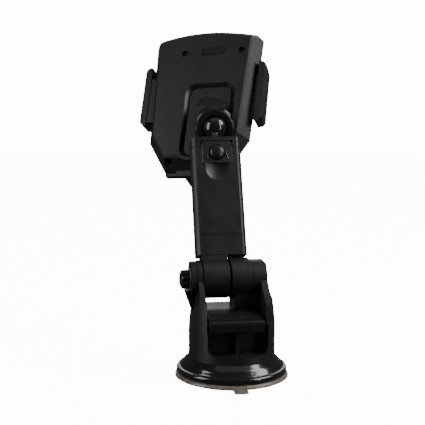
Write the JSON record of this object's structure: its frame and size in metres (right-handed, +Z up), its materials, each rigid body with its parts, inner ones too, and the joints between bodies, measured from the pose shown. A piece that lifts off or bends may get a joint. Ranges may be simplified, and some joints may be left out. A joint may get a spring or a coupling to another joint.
{
  "type": "car phone mount",
  "caption": "Suction-base phone holder with a hinged telescoping arm, ball joint and a cradle with sliding side clamps and foot.",
  "frame": {"origin": "centre of the suction pad's flat underside", "axes": "+Z up from the suction face, the phone faces -Y, the lock lever is on +Y, the arm's hinge runs along X"},
  "size_m": [0.0905, 0.1743, 0.2118],
  "materials": {
    "black_plastic": "fine satin moulded",
    "cradle_plastic": "fine satin moulded",
    "gloss_plastic": "polished",
    "knob_plastic": "satin",
    "gel": "translucent gel",
    "cup_rubber": "matt",
    "pad_rubber": "matt",
    "steel": "machined",
    "brass": "machined"
  },
  "bodies": {
    "base": {"gel_pad": "gel", "suction_cup": "cup_rubber", "base_ring": "gloss_plastic", "base_housing": "black_plastic", "lever_pin": "steel", "hinge_drum": "black_plastic", "hinge_disc": "steel", "hinge_bolt": "steel", "bolt_cap": "knob_plastic", "hinge_washer": "steel"},
    "stem": {"suction_stem": "black_plastic", "stem_spring": "steel"},
    "lever": {"lock_lever": "knob_plastic"},
    "knob": {"hinge_knob": "knob_plastic", "knob_insert": "brass"},
    "arm": {"arm_knuckle": "black_plastic", "arm_sleeve_back": "black_plastic", "arm_sleeve_front": "black_plastic", "sleeve_screws": "steel"},
    "arm_button": {"lock_button": "knob_plastic"},
    "extension": {"arm_slider": "black_plastic", "arm_cap": "black_plastic", "ball_stud": "gloss_plastic"},
    "liner": {"ball_liner": "pad_rubber"},
    "ring": {"socket_ring": "knob_plastic"},
    "cradle": {"cradle_back": "cradle_plastic", "cradle_front": "cradle_plastic", "front_pad": "pad_rubber", "cradle_screws": "steel", "ball_socket": "cradle_plastic"},
    "nut": {"collar_nut": "knob_plastic"},
    "left_clamp": {"left_slider": "cradle_plastic", "left_grip": "cradle_plastic", "left_grip_pad": "pad_rubber"},
    "right_clamp": {"right_slider": "cradle_plastic", "right_grip": "cradle_plastic", "right_grip_pad": "pad_rubber"},
    "gear": {"pinion": "knob_plastic"},
    "head_button": {"release_button": "knob_plastic"},
    "foot": {"bottom_foot": "cradle_plastic", "foot_pads": "pad_rubber"}
  },
  "joints": [
    {"name": "lever_turn", "type": "hinge", "parent": "base", "child": "lever", "pos_m": [0, 0.0045, 0.035], "axis": [1, 0, 0], "range_deg": [0, 45]},
    {"name": "stem_slide", "type": "slide", "parent": "base", "child": "stem", "axis": [0, 0, -1], "range_m": [0, 0.003], "deforming": ["stem_spring"]},
    {"name": "knob_turn", "type": "hinge", "parent": "base", "child": "knob", "pos_m": [0.03, -0.0068, 0.0574], "axis": [1, 0, 0], "continuous": true},
    {"name": "arm_tilt", "type": "hinge", "parent": "base", "child": "arm", "pos_m": [0.0047, -0.0068, 0.0574], "axis": [1, 0, 0], "range_deg": [-50, 55]},
    {"name": "arm_button_press", "type": "slide", "parent": "arm", "child": "arm_button", "axis": [0, -0.9379, -0.3469], "range_m": [0, 0.0012], "stiffness_N_per_m": 800, "springref_m": -0.0005},
    {"name": "arm_extend", "type": "slide", "parent": "arm", "child": "extension", "axis": [0, -0.3469, 0.9379], "range_m": [0, 0.042]},
    {"name": "head_tilt", "type": "hinge", "parent": "extension", "child": "liner", "pos_m": [0.0022, -0.05066, 0.14716], "axis": [0.9859, -0.1052, -0.1301], "range_deg": [-15, 4]},
    {"name": "head_pan", "type": "hinge", "parent": "liner", "child": "ring", "pos_m": [0.0022, -0.05066, 0.14716], "axis": [0.1463, 0.1647, 0.9754], "range_deg": [-25, 5]},
    {"name": "head_spin", "type": "hinge", "parent": "ring", "child": "cradle", "pos_m": [0.0022, -0.05066, 0.14716], "axis": [0.0812, 0.9807, -0.1777], "range_deg": [-45, 45]},
    {"name": "nut_turn", "type": "hinge", "parent": "cradle", "child": "nut", "pos_m": [0.0022, -0.05066, 0.14716], "axis": [0.0812, 0.9807, -0.1777], "continuous": true},
    {"name": "left_clamp_slide", "type": "slide", "parent": "cradle", "child": "left_clamp", "axis": [0.8789, -0.4743, -0.0517], "range_m": [0, 0.012]},
    {"name": "right_clamp_slide", "type": "slide", "parent": "cradle", "child": "right_clamp", "axis": [-0.8789, 0.4743, 0.0517], "range_m": [0, 0.012]},
    {"name": "gear_turn", "type": "hinge", "parent": "cradle", "child": "gear", "pos_m": [0.0046, -0.08682, 0.1657], "axis": [0.4467, 0.7799, 0.4384], "range_deg": [0, 115]},
    {"name": "head_button_press", "type": "slide", "parent": "cradle", "child": "head_button", "axis": [-0.4467, -0.7799, -0.4384], "range_m": [0, 0.0015], "stiffness_N_per_m": 800, "springref_m": -0.0005},
    {"name": "foot_slide", "type": "slide", "parent": "cradle", "child": "foot", "axis": [0.1675, 0.4084, -0.8973], "range_m": [0, 0.01]}
  ],
  "couplings": [
    {"joint": "stem_slide", "follows": "lever_turn", "m_per_rad": 0.0038178},
    {"joint": "right_clamp_slide", "follows": "left_clamp_slide", "ratio": 1},
    {"joint": "gear_turn", "follows": "left_clamp_slide", "rad_per_m": 166.67}
  ]
}
